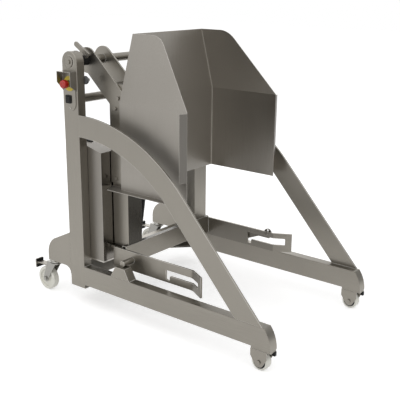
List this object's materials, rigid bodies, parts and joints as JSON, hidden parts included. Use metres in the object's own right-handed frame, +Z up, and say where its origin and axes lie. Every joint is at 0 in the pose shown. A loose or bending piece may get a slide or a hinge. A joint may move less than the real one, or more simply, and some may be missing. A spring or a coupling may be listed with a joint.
{
  "type": "bin dumper",
  "caption": "Stainless column tipper for wheeled bins: castored forked frame with curved braces, and a tilting carriage with fork arms and an open hood.",
  "frame": {"origin": "on the floor, in the centre plane, straight below the tilt axis", "axes": "+X to the right seen from the front, +Y to the rear where the bin is emptied, +Z up"},
  "size_m": [0.9265, 1.514, 1.362],
  "materials": {
    "frame_steel": "satin brushed",
    "sheet_steel": "satin sheet",
    "bright_steel": "turned and ground",
    "black_plastic": "matte",
    "red_plastic": "gloss",
    "yellow_plastic": "gloss",
    "cream_nylon": "satin",
    "grey_rubber": "matte",
    "motor_paint": "semi gloss"
  },
  "bodies": {
    "frame": {"left_post": "frame_steel", "right_post": "frame_steel", "pivot_bearings": "bright_steel", "left_leg": "frame_steel", "right_leg": "frame_steel", "left_brace": "frame_steel", "right_brace": "frame_steel", "left_rear_foot": "frame_steel", "right_rear_foot": "frame_steel", "pedestals": "frame_steel", "cross_tube": "frame_steel", "rear_cross_member": "frame_steel", "corner_gussets": "frame_steel", "power_box": "sheet_steel", "power_box_cover": "sheet_steel", "pump_motor": "motor_paint", "oil_tank": "sheet_steel", "cylinder_bracket": "frame_steel", "control_plate": "sheet_steel", "estop_guard": "sheet_steel", "estop_base": "yellow_plastic", "switch_frame": "black_plastic", "limit_sensor": "black_plastic", "swivel_plates": "bright_steel", "left_front_fork": "bright_steel", "right_front_fork": "bright_steel", "front_axles": "bright_steel", "front_bumpers": "grey_rubber", "frame_screws": "bright_steel"},
    "carriage": {"pivot_shaft": "bright_steel", "axle_bolts": "bright_steel", "hub_collars": "black_plastic", "left_outer_arm": "frame_steel", "right_outer_arm": "frame_steel", "inner_arms": "frame_steel", "left_upright": "frame_steel", "right_upright": "frame_steel", "arm_bolts": "bright_steel", "cross_beam": "frame_steel", "left_fork_arm": "frame_steel", "right_fork_arm": "frame_steel", "rest_stubs": "frame_steel", "hood_back": "sheet_steel", "left_hood_side": "sheet_steel", "right_hood_side": "sheet_steel", "trip_lever": "frame_steel", "cylinder_crossbar": "frame_steel"},
    "barrel": {"cylinder_barrel": "frame_steel"},
    "rod": {"cylinder_rod": "bright_steel"},
    "estop": {"estop_button": "red_plastic"},
    "rocker": {"rocker_switch": "black_plastic"},
    "latch": {"fork_latch": "frame_steel"},
    "left_swivel": {"left_swivel_fork": "bright_steel"},
    "left_pedal": {"left_brake_pedal": "black_plastic"},
    "left_rear_roller": {"left_rear_wheel": "cream_nylon"},
    "left_front_roller": {"left_front_wheel": "cream_nylon"},
    "right_swivel": {"right_swivel_fork": "bright_steel"},
    "right_pedal": {"right_brake_pedal": "black_plastic"},
    "right_rear_roller": {"right_rear_wheel": "cream_nylon"},
    "right_front_roller": {"right_front_wheel": "cream_nylon"}
  },
  "joints": [
    {"name": "tilt", "type": "hinge", "parent": "frame", "child": "carriage", "pos_m": [0, 0, 1.228], "axis": [-1, 0, 0], "range_deg": [0, 135]},
    {"name": "barrel_swing", "type": "hinge", "parent": "frame", "child": "barrel", "pos_m": [0, 0.012, 0.24], "axis": [-1, 0, 0], "range_deg": [0, 3.7]},
    {"name": "rod_slide", "type": "slide", "parent": "barrel", "child": "rod", "axis": [0, -0.1572, 0.9876], "range_m": [0, 0.5026]},
    {"name": "estop_press", "type": "slide", "parent": "frame", "child": "estop", "axis": [1, 0, 0], "range_m": [0, 0.005]},
    {"name": "rocker_tip", "type": "hinge", "parent": "frame", "child": "rocker", "pos_m": [-0.438, 0.009, 1.052], "axis": [0, 1, 0], "range_deg": [-7, 7], "stiffness_Nm_per_rad": 0.2},
    {"name": "latch_swing", "type": "hinge", "parent": "carriage", "child": "latch", "pos_m": [0.339, -0.64, 0.312], "axis": [1, 0, 0], "range_deg": [0, 70]},
    {"name": "left_castor_swivel", "type": "hinge", "parent": "frame", "child": "left_swivel", "pos_m": [-0.409, 0.195, 0.162], "axis": [0, 0, 1], "continuous": true},
    {"name": "left_brake", "type": "hinge", "parent": "left_swivel", "child": "left_pedal", "pos_m": [-0.409, 0.24, 0.137], "axis": [1, 0, 0], "range_deg": [-10, 0]},
    {"name": "left_rear_spin", "type": "hinge", "parent": "left_swivel", "child": "left_rear_roller", "pos_m": [-0.409, 0.257, 0.0625], "axis": [1, 0, 0], "continuous": true},
    {"name": "left_front_spin", "type": "hinge", "parent": "frame", "child": "left_front_roller", "pos_m": [-0.409, -1.119, 0.04], "axis": [1, 0, 0], "continuous": true},
    {"name": "right_castor_swivel", "type": "hinge", "parent": "frame", "child": "right_swivel", "pos_m": [0.409, 0.195, 0.162], "axis": [0, 0, 1], "continuous": true},
    {"name": "right_brake", "type": "hinge", "parent": "right_swivel", "child": "right_pedal", "pos_m": [0.409, 0.24, 0.137], "axis": [1, 0, 0], "range_deg": [-10, 0]},
    {"name": "right_rear_spin", "type": "hinge", "parent": "right_swivel", "child": "right_rear_roller", "pos_m": [0.409, 0.257, 0.0625], "axis": [1, 0, 0], "continuous": true},
    {"name": "right_front_spin", "type": "hinge", "parent": "frame", "child": "right_front_roller", "pos_m": [0.409, -1.119, 0.04], "axis": [1, 0, 0], "continuous": true}
  ],
  "couplings": [
    {"joint": "barrel_swing", "follows": "tilt", "ratio": 0.027225},
    {"joint": "rod_slide", "follows": "tilt", "m_per_rad": 0.21321}
  ]
}
